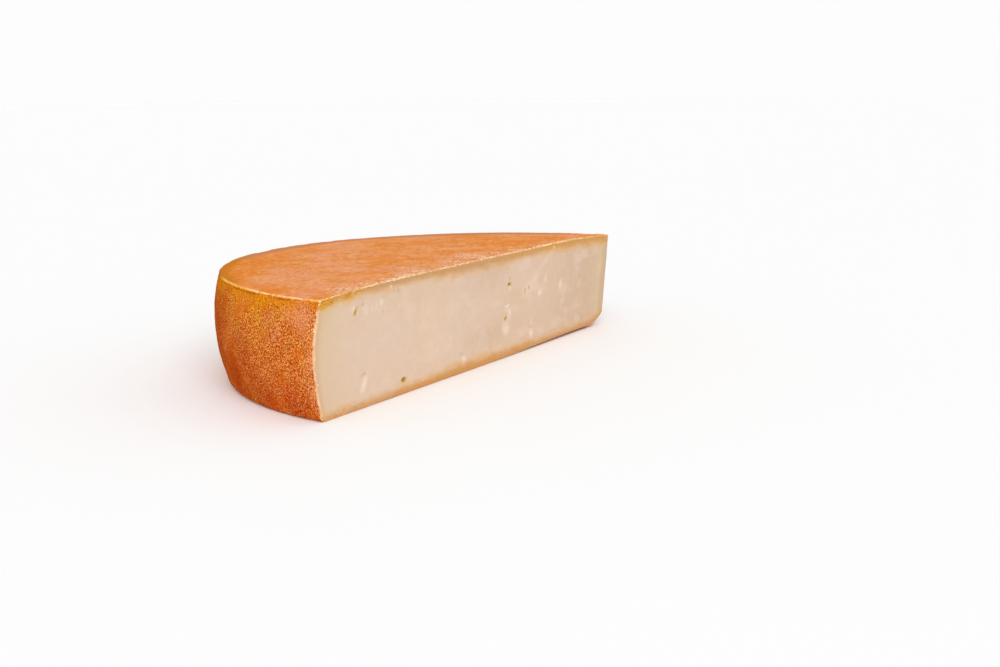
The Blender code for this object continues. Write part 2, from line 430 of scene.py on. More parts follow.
def shape_surface(form, wheel_axis):
    """Moves each corner by the relief of the faces that it belongs to, and notes the eyes on it."""
    form.normal_update()
    layers = form.verts.layers.float
    run_layer, gap_layer, top_layer, side_layer, base_layer = (layers[name] for name in PLACES)
    flaky_layer = layers.new("flaky")
    eye_layers = [layers.new(name) for name in ("hole_shade", "halo", "dimple")]
    outwards = Vector((0, -math.cos(CUT_LEAN), math.sin(CUT_LEAN)))
    moves = []
    for corner in form.verts:
        rind_normal = Vector()
        on_cut = False
        for face in corner.link_faces:
            if face.material_index == PASTE:
                on_cut = True
            else:
                rind_normal += face.normal
        run = corner[run_layer]
        gap = corner[gap_layer]
        place = corner.co
        move = Vector()
        if rind_normal.length > 0:
            rind_normal.normalize()
            relief = rind_relief(place, run)
            if run > RIM_HEIGHT:
                relief = -0.5 * abs(relief) * between(run, RIM_HEIGHT, RIM_HEIGHT + 0.003)
            chips = noise.fractal(place / 0.0022, 0.8, 2.0, 2)
            relief += edge_burr(place, chips) * bell(gap, CHIP_REACH) * between(place.z, 0.001, 0.004)
            move += rind_normal * relief
        if on_cut:
            edge_gap = min(corner[top_layer], corner[side_layer])
            relief = cut_relief(place)
            torn = between(noise.fractal(place / 0.0018 + Vector((9, 9, 9)), 0.8, 2.0, 2), -0.2, 0.6)
            relief -= CHIP_DEPTH * torn * bell(edge_gap, CHIP_REACH) * (1 - between(place.x, 0.06, 0.14))
            on_wheel = place - wheel_axis
            flaked = bell(eye_reach(FLAKY_SPOT, on_wheel), 1.15)
            flakes = between(noise.fractal(place / 0.0011, 0.7, 2.0, 2), -0.25, 0.25)
            relief -= FLAKY_SPOT.depth * flaked * (0.15 + 0.85 * flakes)
            corner[flaky_layer] = flaked * (1 - flakes)
            for eye in EYES:
                limit = 1.8 * max(eye.width, eye.height)
                if abs(on_wheel.x - eye.along) < limit and abs(on_wheel.z - eye.up) < limit:
                    sunk, *shares = eye_form(eye, on_wheel)
                    relief += sunk
                    for layer, share in zip(eye_layers, shares):
                        corner[layer] = max(corner[layer], share)
            move += outwards * relief
            if corner[base_layer] < SAME_PLACE:
                move += Vector((0, FOOT_WEAR / 2, FOOT_WEAR))
        moves.append(move)
    for corner, move in zip(form.verts, moves):
        corner.co += move


# Pale drag marks of the knife on the cut, in millimetres: from along and up to along and up, half
# width, and strength. The ones with a strength below 0 are faint shades.
SMEARS = (
    (-118.8, 51.2, -117.8, 49.4, 2, 0.4), (-113, 50, -109.2, 50.6, 1.8, 0.35),
    (-104.8, 53, -104.9, 51.6, 1.4, 0.55), (-128.2, 52.6, -127.6, 50.6, 0.9, 0.5),
    (-124.8, 50.4, -125, 49.6, 0.8, 0.4), (-96.9, 58.8, -96.8, 58.6, 0.8, 0.95),
    (76.9, 59.5, 77.2, 59.5, 1, 0.8), (75.6, 57, 40.8, 36.6, 2.8, 0.18),
    (78, 55, 56.5, 45.2, 0.7, -0.14), (23.6, 42.1, 23.8, 41.2, 1.4, 0.65),
    (44, 38.8, 44.2, 35.2, 0.9, 0.4), (60.6, 35.2, 60.2, 32.8, 1.8, 0.45),
    (67.9, 42.8, 67.2, 41, 1.8, 0.4), (87.5, 36.2, 86.8, 33.8, 2, 0.45),
    (19, 19.6, 21.2, 17.2, 3.6, 0.45), (24.3, 27, 23.6, 23.6, 1.8, 0.45),
    (50.7, 11.2, 51.3, 10, 2.4, 0.75), (50.8, 19, 50.6, 15, 1.6, 0.25),
    (-118, 15.2, -120, 9.6, 2.1, 0.5), (-26.2, 8.6, -25, 8.2, 2, 0.45),
    (90.3, 6.3, 90.5, 6, 1.2, 0.4), (-61, 39, -59, 21, 10, 0.17), (-22, 50, 16, 51, 6, -0.12),
    (-22, 17, 14, 16.5, 6, -0.12), (-120.8, 52.9, -120.2, 53, 1, -0.45),
    (-111.2, 50.9, -110.8, 51.1, 0.9, -0.35), (-104.6, 54.4, -104.4, 53.8, 1, -0.35),
    (-104, 47.2, -103.8, 46.8, 0.9, -0.4), (-94, 55.7, -93.8, 55.6, 0.9, -0.3),
    (-90.5, 56, -90.4, 55.5, 1, -0.4), (-120.2, 17, -118.4, 17.4, 1.1, -0.5),
    (23, 47, 22.9, 46.4, 1, -0.6), (42.2, 38.6, 42.1, 36.2, 0.7, -0.55),
    (50, 14, 50.4, 13.6, 1.2, -0.4), (-29, 11.2, -27, 10.6, 1.4, -0.25),
)


def note_smears(form, wheel_axis):
    """Writes on each corner of the cut how strongly a pale drag mark, or a shade, shows there."""
    pale_layer = form.verts.layers.float.new("smear")
    shade_layer = form.verts.layers.float.new("shade")
    marks = []
    for *lengths, strength in SMEARS:
        along, up, far_along, far_up, width = (length * MM for length in lengths)
        start = Vector((along, up))
        marks.append((start, Vector((far_along, far_up)) - start, width, strength))
    for corner in form.verts:
        if not any(face.material_index == PASTE for face in corner.link_faces):
            continue
        place = corner.co - wheel_axis
        spot = Vector((place.x, place.z))
        for start, way, width, strength in marks:
            share = min(max((spot - start).dot(way) / way.length_squared, 0.0), 1.0)
            distance = (spot - start - way * share).length
            mark = abs(strength) * bell(distance, width * 1.6)
            mark *= 0.6 + 0.4 * between(noise.fractal(place / 0.0035, 0.8, 2.0, 2), -0.3, 0.3)
            layer = pale_layer if strength > 0 else shade_layer
            corner[layer] = max(corner[layer], mark)


# Patches of other rind on the top, in millimetres: along and back from the wheel's axis, reach, and
# strength
TOP_PATCHES = {
    "gold": (
        (-78, 126, 46, 1), (-104, 100, 30, 1), (-128, 76, 16, 0.7), (-50, 128, 30, 0.8),
        (-85, 98, 30, 0.4), (-60, 112, 24, 0.5), (-82, 30, 20, 0.5), (-40, 40, 20, 0.3),
        (-149, 6, 14, 1), (-21, 37, 18, 0.3), (2, 46, 20, 0.5), (66, 34, 40, 0.8),
        (84, 52, 34, 0.6), (102, 26, 24, 0.7), (40, 90, 24, 0.4),
    ),
    "pink": (
        (-121, 62, 20, 0.4), (-100, 60, 18, 0.7), (-74, 46, 18, 0.7), (-56, 72, 18, 0.7),
        (-28, 98, 18, 0.7), (4, 108, 16, 0.7), (27, 130, 14, 0.7), (125, 27, 22, 0.6),
        (85, 103, 22, 0.6), (-128, 26, 22, 0.4), (-146, 20, 12, 0.8), (-62, 30, 12, 0.8),
        (-86, 78, 16, 0.6),
    ),
    "bloom": (
        (-91, 66, 18, 0.3), (-126, 10, 14, 0.55), (-110, 8, 12, 0.6), (-94, 6, 10, 0.8),
        (-78, 7, 11, 1), (-62, 10, 12, 0.8), (-54, 22, 15, 0.7), (-40, 6, 10, 0.5),
        (-22, 14, 14, 0.7), (0, 20, 20, 0.9), (-2, 7, 10, 0.7), (20, 12, 14, 0.6), (39, 8, 10, 0.8),
        (66, 5, 10, 0.6), (87, 4, 8, 0.4),
    ),
}
# The same on the side: the angle in degrees round the wheel, the height, reach and strength. The brown ones
# are not other rind but painted shade, darkening the side near its near end and along its foot.
SIDE_PATCHES = {
    "gold": (
        (176, 60, 12, 0.5), (170, 58, 24, 0.8), (163, 56, 28, 1), (153, 58, 30, 0.9),
        (140, 58, 32, 0.9), (128, 58, 32, 0.9), (168, 33, 12, 0.3), (158, 18, 16, 0.2),
        (95, 58, 40, 0.7), (40, 58, 40, 0.6),
    ),
    "pink": (
        (175, 53, 14, 1), (172, 54, 10, 0.8), (177, 46, 14, 0.6), (179, 31, 13, 0.8),
        (178, 16, 14, 0.6), (178, 5, 5, 1), (166, 49, 10, 0.5), (157, 40, 10, 0.2),
        (156, 54, 7, 0.5), (146, 26, 7, 0.6), (145, 57, 3, 1), (169, 42, 14, 0.5),
        (95, 30, 16, 0.5), (50, 35, 14, 0.5),
    ),
    "red": (
        (172, 8, 20, 1), (163, 7, 22, 1), (150, 8, 26, 1), (163, 28, 12, 0.4), (141, 30, 28, 0.8),
        (134, 44, 24, 0.8), (130, 20, 30, 0.8), (110, 10, 30, 0.7), (60, 12, 30, 0.8),
        (168, 18, 18, 0.6), (159, 19, 18, 1), (173, 24, 10, 0.6), (169, 34, 12, 0.5),
        (15, 20, 30, 0.7),
    ),
    # Painted shade, darkening the side near its near end and along its foot
    "brown": (
        (141, 36, 30, 0.9), (141, 18, 34, 1), (151, 12, 24, 0.9), (159, 6, 22, 0.6),
        (172, 3, 12, 0.5), (156, 28, 16, 0.4), (100, 8, 30, 0.7), (30, 10, 30, 0.7),
    ),
    "rubbed": (
        (150, 20, 26, 0.9), (146, 46, 14, 0.7), (128, 30, 36, 1), (60, 30, 30, 0.8),
        (20, 20, 20, 0.8), (174, 49, 12, 0.7), (179, 36, 12, 0.4),
    ),
}


def note_patches(form, wheel_axis):
    """Writes on each corner how much of each kind of patch lies there."""
    layers = {}
    patches = []
    for kind in {**TOP_PATCHES, **SIDE_PATCHES}:
        layers[kind] = form.verts.layers.float.new(kind)
    for kind, spots in TOP_PATCHES.items():
        for along, back, reach, strength in spots:
            middle = Vector((along * MM, back * MM, RIM_HEIGHT))
            patches.append((kind, middle, reach * MM, strength))
    for kind, spots in SIDE_PATCHES.items():
        for angle, height, reach, strength in spots:
            turn = math.radians(angle)
            middle = Vector((BELLY_RADIUS * math.cos(turn), BELLY_RADIUS * math.sin(turn), height * MM))
            patches.append((kind, middle, reach * MM, strength))
    for corner in form.verts:
        place = corner.co - wheel_axis
        uneven = 1 + 0.35 * noise.fractal(place / 0.009, 0.8, 2.0, 3)
        for kind, middle, reach, strength in patches:
            if abs(place.x - middle.x) < 2 * reach and abs(place.z - middle.z) < 2 * reach:
                share = strength * bell((place - middle).length * uneven, reach)
                corner[layers[kind]] = max(corner[layers[kind]], share)


# Stains under the rind along the cut's top edge, in stretches that each begin where the last one
# ends: where it ends and how deep it goes, in millimetres, its strength, and how golden it is
TOP_STAINS = (
    (-145, 4.2, 1.5, 1), (-137, 4.4, 0.95, 0.6), (-129, 5.2, 1, 0.9), (-121, 4.2, 1, 0.5),
    (-113, 4, 1.05, 0.2), (-96, 4.8, 0.98, 0), (-59, 4.2, 1, 0), (-40, 5, 1.05, 0.1),
    (2, 6.2, 1.05, 0), (25, 6, 1.05, 0.1), (37, 5.6, 1.05, 0.4), (61, 5.2, 1, 0.2),
    (87, 5.2, 1, 0.7), (115, 5.8, 1, 0.5), (170, 6, 1, 0.5),
)
# The same along the bottom edge, where the band is partly stain and partly painted orange bounce light and
# shade from below
LOW_STAINS_AND_BOUNCE = (
    (-142, 4, 0.85, 0), (-92, 4.4, 0.9, 0), (-45, 5, 1, 0.4), (10, 6.6, 1, 0.4), (50, 6, 1, 0.3),
    (110, 5.6, 0.95, 0.1), (170, 7, 1, 0),
)
# How pale the torn edge of the rind is, in the same way: where the stretch ends, and how pale
PALE_EDGE = (
    (-145, 0), (-137, 0.6), (-129, 0.05), (-121, 0.3), (-113, 0.8), (-78, 1), (-59, 0.8),
    (-50, 0.3), (-30, 1), (2, 0.9), (14, 0.45), (25, 1), (37, 0.7), (74, 1), (115, 0.8), (129, 0.6),
    (170, 0.3),
)
CUT_START = -0.160
STAIN_RAMP = 0.003
STAIN_LIMIT = 0.012
TOP_EDGE_DEPTH = 0.004
UPRIGHT_PALE = 0.8


def stretches(rows):
    """The rows of a table of stretches, each with where it begins and ends in metres."""
    ends = [row[0] * MM for row in rows]
    begins = [CUT_START, *ends[:-1]]
    return [(begin, end, *row[1:]) for begin, end, row in zip(begins, ends, rows)]


def stretch_share(value, low, high):
    """1 between two places along the cut, fading out round both ends."""
    begun = between(value, low - STAIN_RAMP, low + STAIN_RAMP)
    return begun - between(value, high - STAIN_RAMP, high + STAIN_RAMP)


PALE_STRETCHES = stretches(PALE_EDGE)


def pale_share(along):
    """How pale the torn edge is at this place along the cut."""
    return sum(pale * stretch_share(along, low, high) for low, high, pale in PALE_STRETCHES)


def note_stains_and_bounce(form, wheel_axis):
    """Writes on the cut's corners how stained and how golden the paste is, with painted bounce light and
    shade along the foot, and where the edge is pale.
    """
    top_layer = form.verts.layers.float["under_top"]
    base_layer = form.verts.layers.float["above_base"]
    gold_layer = form.verts.layers.float["gold"]
    stain_and_bounce_layer = form.verts.layers.float.new("stain_and_bounce")
    pale_layer = form.verts.layers.float.new("pale")
    top_stains = stretches(TOP_STAINS)
    low_stains_and_bounce = stretches(LOW_STAINS_AND_BOUNCE)
    for corner in form.verts:
        place = corner.co - wheel_axis
        corner[pale_layer] = pale_share(place.x) if corner[top_layer] < TOP_EDGE_DEPTH else UPRIGHT_PALE
        if not any(face.material_index == PASTE for face in corner.link_faces):
            continue
        uneven = 1 + 0.30 * noise.fractal(Vector((place.x / 0.009, place.z / 0.003, 2)), 0.9, 2.0, 3)
        stain_and_bounce = 0.0
        golden = 0.0
        for gap, stains in ((corner[top_layer], top_stains), (corner[base_layer], low_stains_and_bounce)):
            if gap > STAIN_LIMIT:
                continue
            for low, high, deep, strength, gold in stains:
                here = stretch_share(place.x, low, high)
                if here > 0:
                    faded = between(gap * uneven / MM, deep * 0.2, deep * 1.5)
                    stain_and_bounce += strength * here * (1 - faded)
                    golden += gold * here
        corner[stain_and_bounce_layer] = min(stain_and_bounce, 1.0)
        corner[gold_layer] = min(golden, 1.0)


def drop_flaps(form):
    """Cuts the faces beside the cut's edge into triangles, and drops pairs that lie back to back."""
    beside = {}
    for edge in form.edges:
        if len({face.material_index == PASTE for face in edge.link_faces}) == 2:
            beside.update(dict.fromkeys(edge.link_faces))
    met = {}
    for face in bmesh.ops.triangulate(form, faces=list(beside))["faces"]:
        met.setdefault(frozenset(face.verts), []).append(face)
    flaps = [face for pair in met.values() if len(pair) > 1 for face in pair]
    bmesh.ops.delete(form, geom=flaps, context="FACES")


form = bmesh.new()
cut_wheel(form)
refine_eyes(form)
note_places(form)
for corner in form.verts:
    corner.co = real_place(corner.co)
wheel_axis = stand_in_place(form)
shape_surface(form, wheel_axis)
note_smears(form, wheel_axis)
note_patches(form, wheel_axis)
note_stains_and_bounce(form, wheel_axis)
drop_flaps(form)
for face in form.faces:
    face.smooth = True
    if face.material_index in (TOP, BASE):
        face.material_index = RIND
for edge in form.edges:
    edge.smooth = len({face.material_index for face in edge.link_faces}) == 1
sharp_corners = {corner for edge in form.edges if not edge.smooth for corner in edge.verts}
edge_places = [corner.co.copy() for corner in sharp_corners]


def finished_piece(form, name, *materials):
    """The form as an object of the scene, in these materials."""
    mesh = bpy.data.meshes.new(name)
    form.to_mesh(mesh)
    form.free()
    for material in materials:
        mesh.materials.append(material)
    piece = bpy.data.objects.new(name, mesh)
    bpy.context.collection.objects.link(piece)
    return piece


class Level:
    """A number that changes over the surface. Sums written with it become Math nodes."""

    def __init__(self, finish, socket):
        self.finish = finish
        self.socket = socket

    def worked(self, operation, first, second):
        return self.finish.node("ShaderNodeMath", {"operation": operation}, {0: first, 1: second})

    def __add__(self, other):
        return self.worked("ADD", self, other)

    def __sub__(self, other):
        return self.worked("SUBTRACT", self, other)

    def __rsub__(self, other):
        return self.worked("SUBTRACT", other, self)

    def __mul__(self, other):
        return self.worked("MULTIPLY", self, other)

    __radd__ = __add__
    __rmul__ = __mul__


class Finish:
    """A material or a world as it is made: its shader, and the nodes that feed it."""

    def __init__(self, owner, shader="Principled BSDF"):
        owner.use_nodes = True
        self.owner = owner
        self.nodes = owner.node_tree.nodes
        self.links = owner.node_tree.links
        self.shader = self.nodes[shader]

    def feed(self, socket, value):
        """Links a level to the socket, or sets a plain value on it."""
        if isinstance(value, Level):
            self.links.new(value.socket, socket)
        else:
            socket.default_value = value

    def node(self, kind, settings, values, output=0):
        """Adds a node, makes its settings, fills or links its sockets, and gives back one output."""
        node = self.nodes.new(kind)
        for name, value in settings.items():
            setattr(node, name, value)
        for key, value in values.items():
            self.feed(node.inputs[key], value)
        return Level(self, node.outputs[output])

    def set(self, **values):
        """Fills or links the shader's own sockets."""
        for name, value in values.items():
            self.feed(self.shader.inputs[name.replace("_", " ").title()], value)

    def place(self):
        """Where a point lies on the object."""
        return self.node("ShaderNodeTexCoord", {}, {}, "Object")

    def part(self, place, axis):
        """The X, Y or Z of a place."""
        return self.node("ShaderNodeSeparateXYZ", {}, {0: place}, axis)

    def noted(self, name):
        """A number that the mesh carries on its corners."""
        return self.node("ShaderNodeAttribute", {"attribute_name": name}, {}, "Fac")

    def stretched(self, place, sizes):
        """The place measured in these sizes along X, Y and Z."""
        scale = [1 / size for size in sizes]
        return self.node("ShaderNodeMapping", {}, {"Vector": place, "Scale": scale})

    def clouds(self, place, size, detail=2.0, roughness=0.5):
        """Soft noise from 0 to 1 in lumps of about this size."""
        values = {"Vector": place, "Scale": 1 / size, "Detail": detail, "Roughness": roughness}
        return self.node("ShaderNodeTexNoise", {}, values)

    def rise(self, level, low, high):
        """0 where the level is below low, 1 above high, or the other way round if low is the higher."""
        values = {0: level, 1: low, 2: high}
        return self.node("ShaderNodeMapRange", {"interpolation_type": "SMOOTHSTEP"}, values)

    def band(self, level, middle, width):
        """1 where the level is at the middle, falling to 0 a width away on both sides."""
        away = self.node("ShaderNodeMath", {"operation": "ABSOLUTE"}, {0: level - middle})
        return self.rise(away, width, width * 0.25)

    def mix(self, first, second, share):
        """The first colour with a share of the second over it."""
        return self.node("ShaderNodeMix", {"data_type": "RGBA"}, {0: share, 6: first, 7: second}, 2)

    def coats(self, ground, *layers):
        """The ground colour with other colours over it, one after the other, each with its share."""
        colour = ground
        for over, share in layers:
            colour = self.mix(colour, over, share)
        return colour

    def bump(self, height, distance, strength):
        """The way the surface faces if it stands out by this height times the distance."""
        values = {"Height": height, "Distance": distance, "Strength": strength}
        return self.node("ShaderNodeBump", {}, values)


def tint(red, green, blue):
    """A colour as a screen shows it, from 0 to 255, as the linear light that the shader takes."""
    linear = []
    for value in (red, green, blue):
        share = value / 255
        linear.append(share / 12.92 if share <= 0.04045 else ((share + 0.055) / 1.055) ** 2.4)
    return (*linear, 1.0)


def rind_finish():
    """Dry washed rind: orange-brown and grainy on the side, smoother and pinker on the top."""
    finish = Finish(bpy.data.materials.new("washed_rind"))
    place = finish.place()
    run = finish.noted("rim_run")
    gap = finish.noted("cut_gap")
    gold = finish.noted("gold")
    pink = finish.noted("pink")
    pale = finish.noted("pale")
    on_side = finish.rise(run, 0.0002, 0.0012)

    # The side's own colour, mottled at three sizes
    big = finish.clouds(place, 0.030)
    middling = finish.clouds(place, 0.009, 3.0, 0.6)
    small = finish.clouds(place, 0.0017, 2.0, 0.6)
    dusting = finish.rise(pink + (small - 0.5) * 0.5, 0.10, 0.90)
    side = finish.coats(
        tint(200, 94, 23),
        (tint(212, 108, 27), finish.rise(big, 0.38, 0.62)),
        (tint(184, 72, 12), finish.rise(middling, 0.50, 0.68) * 0.45),
        (tint(216, 122, 18), finish.rise(middling, 0.48, 0.34) * 0.5),
        (tint(190, 60, 6), finish.noted("red") * 0.80),
        (tint(228, 146, 104), dusting * 0.7),
    )

    # Ochre under the rim
    under_rim = finish.rise(run + (middling - 0.5) * 0.009, 0.0120, 0.0020)
    ochre = finish.rise(gold * (0.30 + 0.70 * under_rim) + (small - 0.5) * 0.6, 0.05, 0.95)
    side = finish.mix(side, tint(220, 134, 6), ochre * 0.9)

    # Pale grains of different strength that stand on the side, and brown pits between them
    grain_size = {"Vector": place, "Scale": 1 / 0.00080}
    cells = finish.node("ShaderNodeTexVoronoi", {}, grain_size, "Distance")
    lots = finish.node("ShaderNodeTexVoronoi", {}, grain_size, "Color")
    lot = finish.node("ShaderNodeSeparateColor", {}, {0: lots})
    crowd = finish.rise(finish.clouds(place, 0.012), 0.26, 0.50) * finish.rise(run, 0.001, 0.009)
    crowd = crowd * (1 - 0.85 * finish.noted("rubbed"))
    grains = finish.rise(cells, 0.50, 0.22) * (0.35 + 0.65 * lot) * (0.10 + 0.90 * crowd)
    pits = finish.rise(cells, 0.48, 0.76) * finish.rise(small, 0.38, 0.60) * (0.35 + 0.65 * crowd)
    grit = finish.clouds(place, 0.0008, 1.0)
    grain_colour = finish.mix(tint(255, 200, 124), tint(255, 211, 94), gold)
    side = finish.coats(
        side,
        (tint(162, 58, 2), finish.rise(grit, 0.50, 0.64) * 0.6),
        (tint(240, 156, 62), finish.rise(grit, 0.46, 0.32) * 0.5),
        (tint(138, 42, 4), pits * 0.70),
        (grain_colour, grains),
        (tint(190, 58, 4), finish.noted("red") * 0.22),
        # Painted shade from the brown patches, darker near the side's near end and along its foot
        (tint(140, 42, 0), finish.noted("brown") * 0.50),
    )

    # The top, softly mottled, with a powdery bloom that is thickest along the cut
    blotches = finish.clouds(place, 0.014, 4.0, 0.62)
    speckle = finish.clouds(place, 0.0032, 3.0, 0.65)
    fleck = finish.clouds(place, 0.0014, 1.0)
    bloom = finish.noted("bloom") + finish.rise(gap, 0.014, 0.001) * 0.25 - gold * 0.30
    dark_flecks = finish.rise(fleck, 0.46, 0.34) * finish.rise(bloom, 0.0, 0.6)
    powder = finish.rise(fleck + speckle * 0.5 + bloom * 0.28, 0.91, 1.03)
    top = finish.coats(
        tint(225, 139, 68),
        (tint(231, 158, 104), finish.rise(blotches, 0.38, 0.62)),
        (tint(227, 130, 34), gold * 0.80),
        (tint(232, 156, 122), pink * 0.8),
        (tint(198, 106, 48), finish.rise(speckle, 0.50, 0.68) * 0.40),
        (tint(248, 194, 148), finish.rise(speckle, 0.48, 0.32) * 0.40),
        (tint(236, 172, 138), finish.rise(bloom, 0.2, 0.9) * 0.35),
        (tint(184, 104, 62), dark_flecks * 0.6),
        (tint(250, 214, 186), powder * 0.55),
    )

    # A band of painted shade inside the back rim, narrow and golden at the near end and wide at the far end
    back = finish.part(place, "Y")
    along = finish.part(place, "X")
    golden = finish.rise(along, -0.035, -0.060)
    uneven_run = run + (speckle - 0.5) * 0.003
    far = finish.rise(along, 0.060, 0.125)
    back_rim_shade = finish.rise(uneven_run, -0.0160 + golden * 0.0075 - far * 0.0160, -0.0020)
    back_rim_shade = back_rim_shade * finish.rise(back, -0.062 + golden * 0.054, -0.040 + golden * 0.050)
    back_rim_shade_colour = finish.mix(tint(196, 131, 90), tint(200, 124, 38), golden)
    top = finish.mix(top, back_rim_shade_colour, back_rim_shade * 0.9)
    colour = finish.mix(top, side, on_side)

    # The thin pale ridge round the rim, with painted shade on it at the back, and painted shade in the
    # groove under it
    broken = finish.rise(finish.clouds(place, 0.0045, 3.0, 0.7), 0.36, 0.56)
    ridge = finish.band(run + (small - 0.5) * 0.0014, 0.0007, 0.0008) * (0.40 + 0.60 * broken)
    yellower = finish.rise(back, -0.032, -0.012)
    yellower = yellower + finish.rise(along, -0.140, -0.150) * finish.rise(gap, 0.012, 0.004) * 0.8
    ridge_colour = finish.mix(tint(254, 206, 146), tint(246, 192, 98), yellower)
    back_ridge_shade = finish.rise(back, -0.044 + golden * 0.054, -0.024 + golden * 0.054)
    ridge_colour = finish.mix(ridge_colour, tint(168, 98, 56), back_ridge_shade)
    colour = finish.mix(colour, ridge_colour, ridge * 0.9)
    groove_shade = finish.band(run, GROOVE_RUN, 0.0008) * finish.rise(big, 0.50, 0.64)
    colour = finish.mix(colour, tint(150, 62, 4), groove_shade * 0.6)

    # The torn pale edge where the knife broke the rind
    tear_width = (small - 0.5) * 0.0030 + (middling - 0.5) * 0.0016
    torn = finish.rise(gap + tear_width, 0.0011, 0.0005) * (0.15 + 0.85 * pale) * (0.4 + 0.6 * broken)
    colour = finish.mix(colour, tint(250, 210, 164), torn)

    side_height = grains * 0.6 - pits * 0.5 + small * 0.4
    heights = {0: on_side, 2: speckle * 0.5 + middling * 0.3, 3: side_height}
    height = finish.node("ShaderNodeMix", {"data_type": "FLOAT"}, heights)
    normal = finish.bump(height, 0.0006, 0.5)
    finish.set(base_color=colour, roughness=0.70 - grains * 0.05 + on_side * 0.04, normal=normal)
    finish.shader.inputs["Specular IOR Level"].default_value = 0.0
    return finish.owner


def paste_finish():
    """Smooth cream paste, a little darker and yellower towards the rind, with ochre just under it."""
    finish = Finish(bpy.data.materials.new("cut_paste"))
    place = finish.place()
    under_top = finish.noted("under_top")
    from_side = finish.noted("from_side")
    hole_shade = finish.noted("hole_shade")
    smear = finish.noted("smear")
    along = finish.part(place, "X")

    # The paste's own colour, a little warmer and darker towards the far end, with drag lines
    wide = finish.clouds(place, 0.040)
    cloudy = finish.clouds(finish.stretched(place, (1.6, 1.0, 1.0)), 0.011)
    fine = finish.clouds(place, 0.0022, 2.0, 0.6)
    lines = finish.clouds(finish.stretched(place, (0.060, 0.01, 0.0016)), 1.0)
    ticks = finish.clouds(finish.stretched(place, (0.0022, 0.01, 0.008)), 1.0)
    far_ticks = finish.rise(ticks, 0.56, 0.74) * finish.rise(along, 0.03, 0.08)
    mottled = finish.clouds(place, 0.005, 3.0, 0.6)
    colour = finish.coats(
        tint(215, 188, 166),
        (tint(213, 184, 158), finish.rise(wide, 0.38, 0.64)),
        (tint(200, 169, 138), finish.rise(along, -0.06, 0.02) * 0.2),
        (tint(198, 167, 138), finish.rise(along, 0.04, 0.15)),
        (tint(221, 195, 175), finish.rise(cloudy, 0.50, 0.70) * 0.5),
        (tint(206, 178, 148), finish.rise(lines, 0.54, 0.72) * 0.2),
        (tint(224, 202, 184), far_ticks * 0.18),
        (tint(206, 176, 146), finish.rise(mottled, 0.50, 0.66) * 0.14),
        (tint(224, 200, 182), finish.rise(mottled, 0.48, 0.34) * 0.14),
    )

    # Bands along the upright edges, where the paste has dried under the rind
    near_rind = finish.rise(from_side + (wide - 0.5) * 0.006, 0.034, 0.002)
    far_end = finish.rise(along, 0.05, 0.12)
    far_band = finish.rise(from_side + (cloudy - 0.5) * 0.004, 0.0105, 0.0040)
    far_line = finish.rise(from_side + (fine - 0.5) * 0.001, 0.0020, 0.0006)
    near_end = finish.rise(along, -0.10, -0.13)
    near_corner = finish.rise(from_side + under_top * 0.5, 0.026, 0.004)
    near_band = finish.rise(from_side + (fine - 0.5) * 0.0024, 0.0060, 0.0012)
    near_line = finish.rise(from_side + (fine - 0.5) * 0.0016, 0.0016, 0.0006)
    colour = finish.coats(
        colour,
        (tint(210, 184, 148), near_rind * 0.6),
        (tint(198, 166, 130), far_band * far_end),
        (tint(184, 158, 130), far_line * far_end * 0.8),
        (tint(208, 178, 136), near_corner * near_end * 0.7),
        (tint(206, 169, 134), near_band * near_end * 0.9),
        (tint(240, 194, 152), near_line * near_end * 0.8),
    )

    # Ochre stains under the rind, flecked at the near corner; along the foot they are partly painted orange
    # bounce light and shade
    stain_and_bounce = finish.noted("stain_and_bounce")
    gold = finish.noted("gold")
    full_stain_and_bounce = finish.mix(tint(192, 144, 90), tint(204, 138, 6), gold)
    faint_stain_and_bounce = finish.mix(tint(212, 156, 92), tint(218, 160, 62), gold)
    stain_and_bounce_colour = finish.mix(faint_stain_and_bounce, full_stain_and_bounce, finish.rise(stain_and_bounce, 0.3, 1.0))
    flecks = finish.clouds(finish.stretched(place, (0.0026, 0.01, 0.0011)), 1.0, 2.0, 0.7)
    flecked = stain_and_bounce * (0.2 + 0.8 * finish.rise(along, -0.110, -0.124))
    fleck_colour = finish.mix(tint(236, 194, 124), tint(236, 186, 60), gold)
    colour = finish.coats(
        colour,
        (stain_and_bounce_colour, stain_and_bounce),
        (fleck_colour, finish.rise(flecks, 0.50, 0.62) * flecked * 0.3),
        (tint(166, 108, 36), finish.rise(flecks, 0.46, 0.36) * flecked * 0.5),
    )

    # The pale torn line along the top edge, and an orange band at the foot: partly the rind's colour rubbed
    # on, partly painted orange bounce light and shade from below
    broken = finish.rise(finish.clouds(place, 0.0045, 3.0, 0.7), 0.38, 0.54)
    edge = finish.rise(under_top + (fine - 0.5) * 0.0014, 0.0006, 0.0002) * (0.2 + 0.8 * broken)
    colour = finish.mix(colour, tint(250, 210, 166), edge * (0.2 + 0.8 * finish.noted("pale")))
    foot_band_and_bounce = finish.rise(finish.noted("above_base") + (fine - 0.5) * 0.0012, 0.0018, 0.0002)
    colour = finish.mix(colour, tint(220, 146, 78), foot_band_and_bounce * 0.7)

    # Drag marks, the flaky spot and the eyes, with painted shade in the eyes' holes
    colour = finish.coats(
        colour,
        (tint(156, 124, 88), finish.noted("shade")),
        (tint(240, 218, 200), smear),
        (tint(248, 230, 210), finish.noted("flaky")),
        (tint(226, 202, 180), finish.noted("dimple") * 0.35),
        (tint(218, 178, 104), finish.noted("halo") * 0.7),
        # Painted shade on the walls and floors of the deeper eyes
        (tint(190, 148, 88), finish.rise(hole_shade, 0.02, 0.50) * 0.8),
        (tint(146, 114, 66), finish.rise(hole_shade, 0.45, 0.95) * 0.8),
    )

